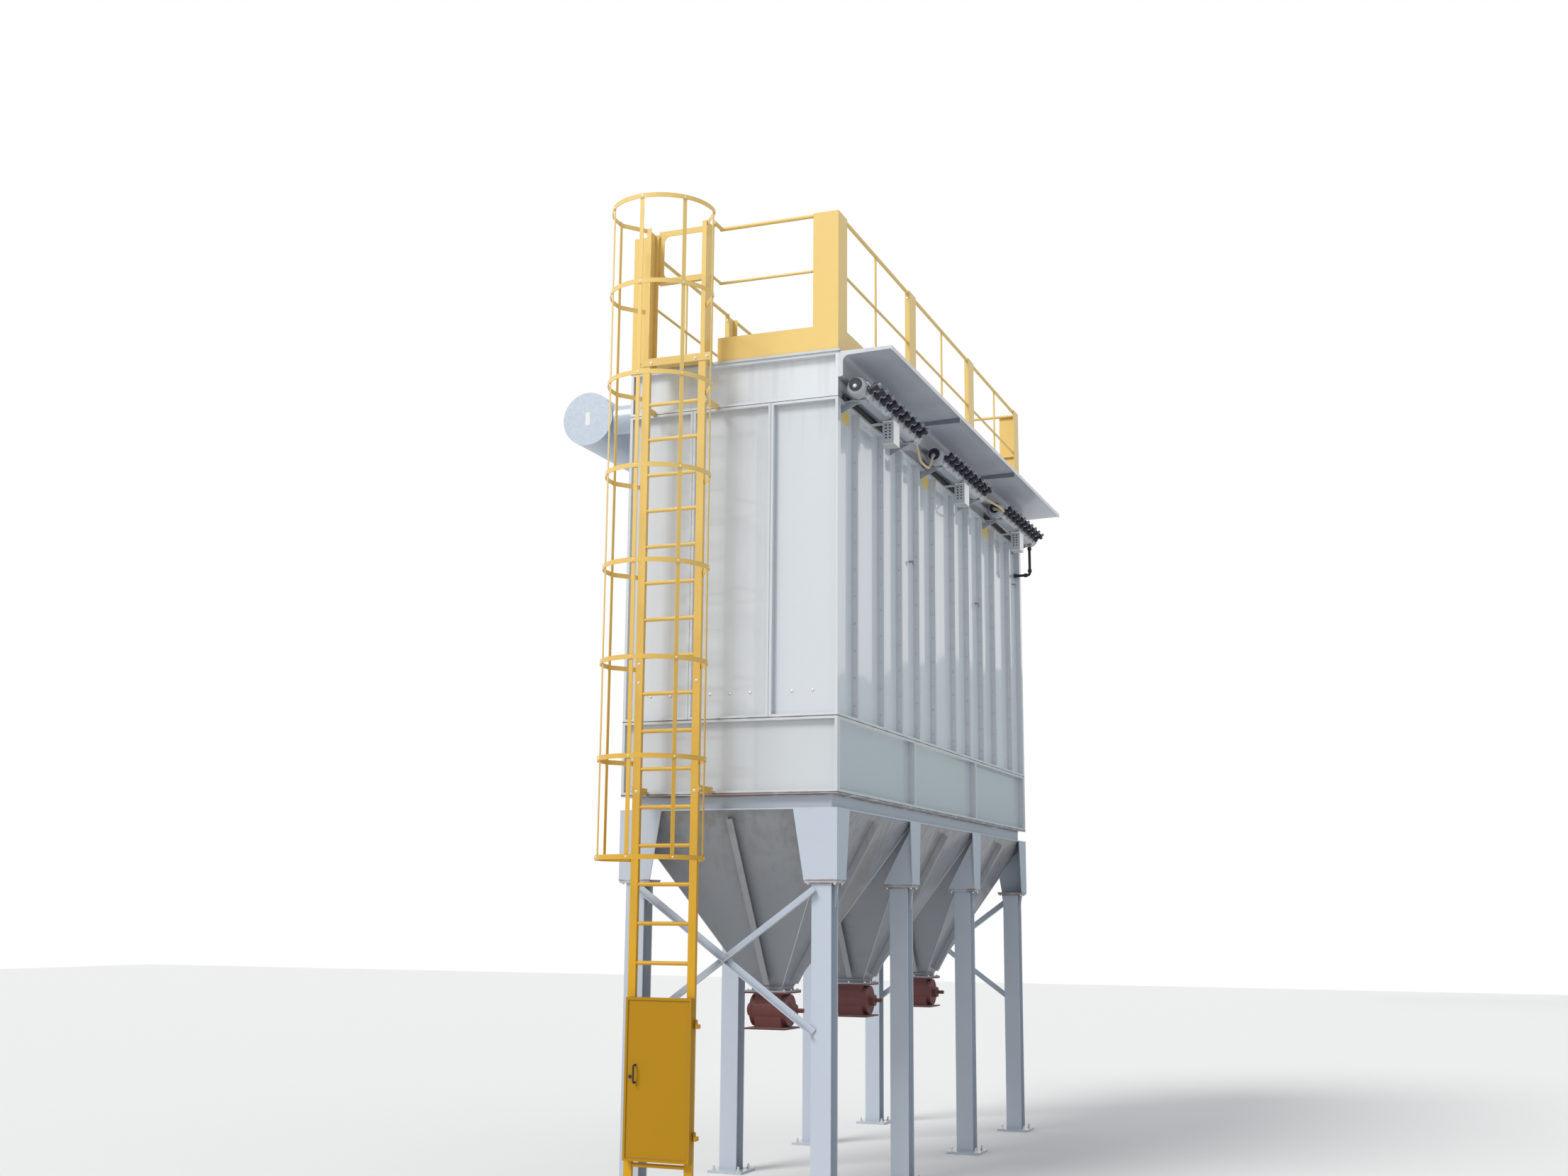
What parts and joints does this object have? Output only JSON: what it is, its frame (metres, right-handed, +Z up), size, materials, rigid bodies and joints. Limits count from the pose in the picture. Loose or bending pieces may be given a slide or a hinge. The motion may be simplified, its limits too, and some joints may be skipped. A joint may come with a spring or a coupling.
{
  "type": "cartridge dust filter unit",
  "caption": "Cartridge dust filter on legs with pyramid hoppers, pulse air manifolds under a canopy, guarded roof and caged ladder.",
  "frame": {"origin": "setting-out point: underside of the front right base plate on the column's centre line", "axes": "+X to the unit's right seen from the ladder end, +Y to the rear, +Z up"},
  "size_m": [3.052, 6.9328, 7.415],
  "materials": {
    "grey_paint": "gloss light grey paint, dust streaks and rust at the lower edges",
    "yellow_paint": "gloss safety yellow paint",
    "red_oxide_paint": "dull red-brown paint",
    "dark_valves": "dark blue-black coated castings",
    "black_plastic": "matte black",
    "tan_hose": "tan rubber",
    "galvanised_steel": "galvanised sheet steel with a soft spangle"
  },
  "bodies": {
    "filter_unit": {"filter_casing": "grey_paint", "lower_casing": "grey_paint", "header_casing": "grey_paint", "roof_deck": "grey_paint", "roof_covers": "grey_paint", "ring_channel": "grey_paint", "leg_brackets": "grey_paint", "leg_caps": "grey_paint", "legs": "grey_paint", "base_plates": "grey_paint", "end_braces": "grey_paint", "hopper_front": "grey_paint", "hopper_middle": "grey_paint", "hopper_rear": "grey_paint", "hopper_stiffeners": "grey_paint", "discharge_valves": "red_oxide_paint", "canopy": "grey_paint", "air_manifolds": "grey_paint", "pulse_valves": "dark_valves", "manifold_brackets": "grey_paint", "pilot_boxes": "grey_paint", "pilot_lines": "black_plastic", "drain_pipe": "black_plastic", "link_hose_front": "tan_hose", "link_hose_rear": "tan_hose", "clean_air_duct": "galvanised_steel", "duct_branches": "galvanised_steel", "dusty_air_inlet": "galvanised_steel", "corner_posts": "yellow_paint", "side_posts": "yellow_paint", "top_rails": "yellow_paint", "mid_rails": "yellow_paint", "balusters": "yellow_paint", "kick_plates": "yellow_paint", "ladder": "yellow_paint", "ladder_standoffs": "yellow_paint", "ladder_threshold": "yellow_paint", "exit_posts": "yellow_paint", "cage_hoops_lower": "yellow_paint", "cage_hoops_upper": "yellow_paint", "cage_straps": "yellow_paint", "fixed_hinges": "yellow_paint"},
    "guard_door": {"ladder_door": "yellow_paint", "door_handle": "black_plastic"},
    "exit_gate": {"safety_gate": "yellow_paint"}
  },
  "joints": [
    {"name": "ladder_door_hinge", "type": "hinge", "parent": "filter_unit", "child": "guard_door", "pos_m": [-0.833, -0.3665, 0.367], "axis": [0, 0, 1], "range_deg": [0, 110]},
    {"name": "safety_gate_hinge", "type": "hinge", "parent": "filter_unit", "child": "exit_gate", "pos_m": [-1.3595, -0.1845, 6.965], "axis": [0, 0, 1], "range_deg": [0, 90], "stiffness_Nm_per_rad": 6, "springref_deg": -8.59}
  ]
}
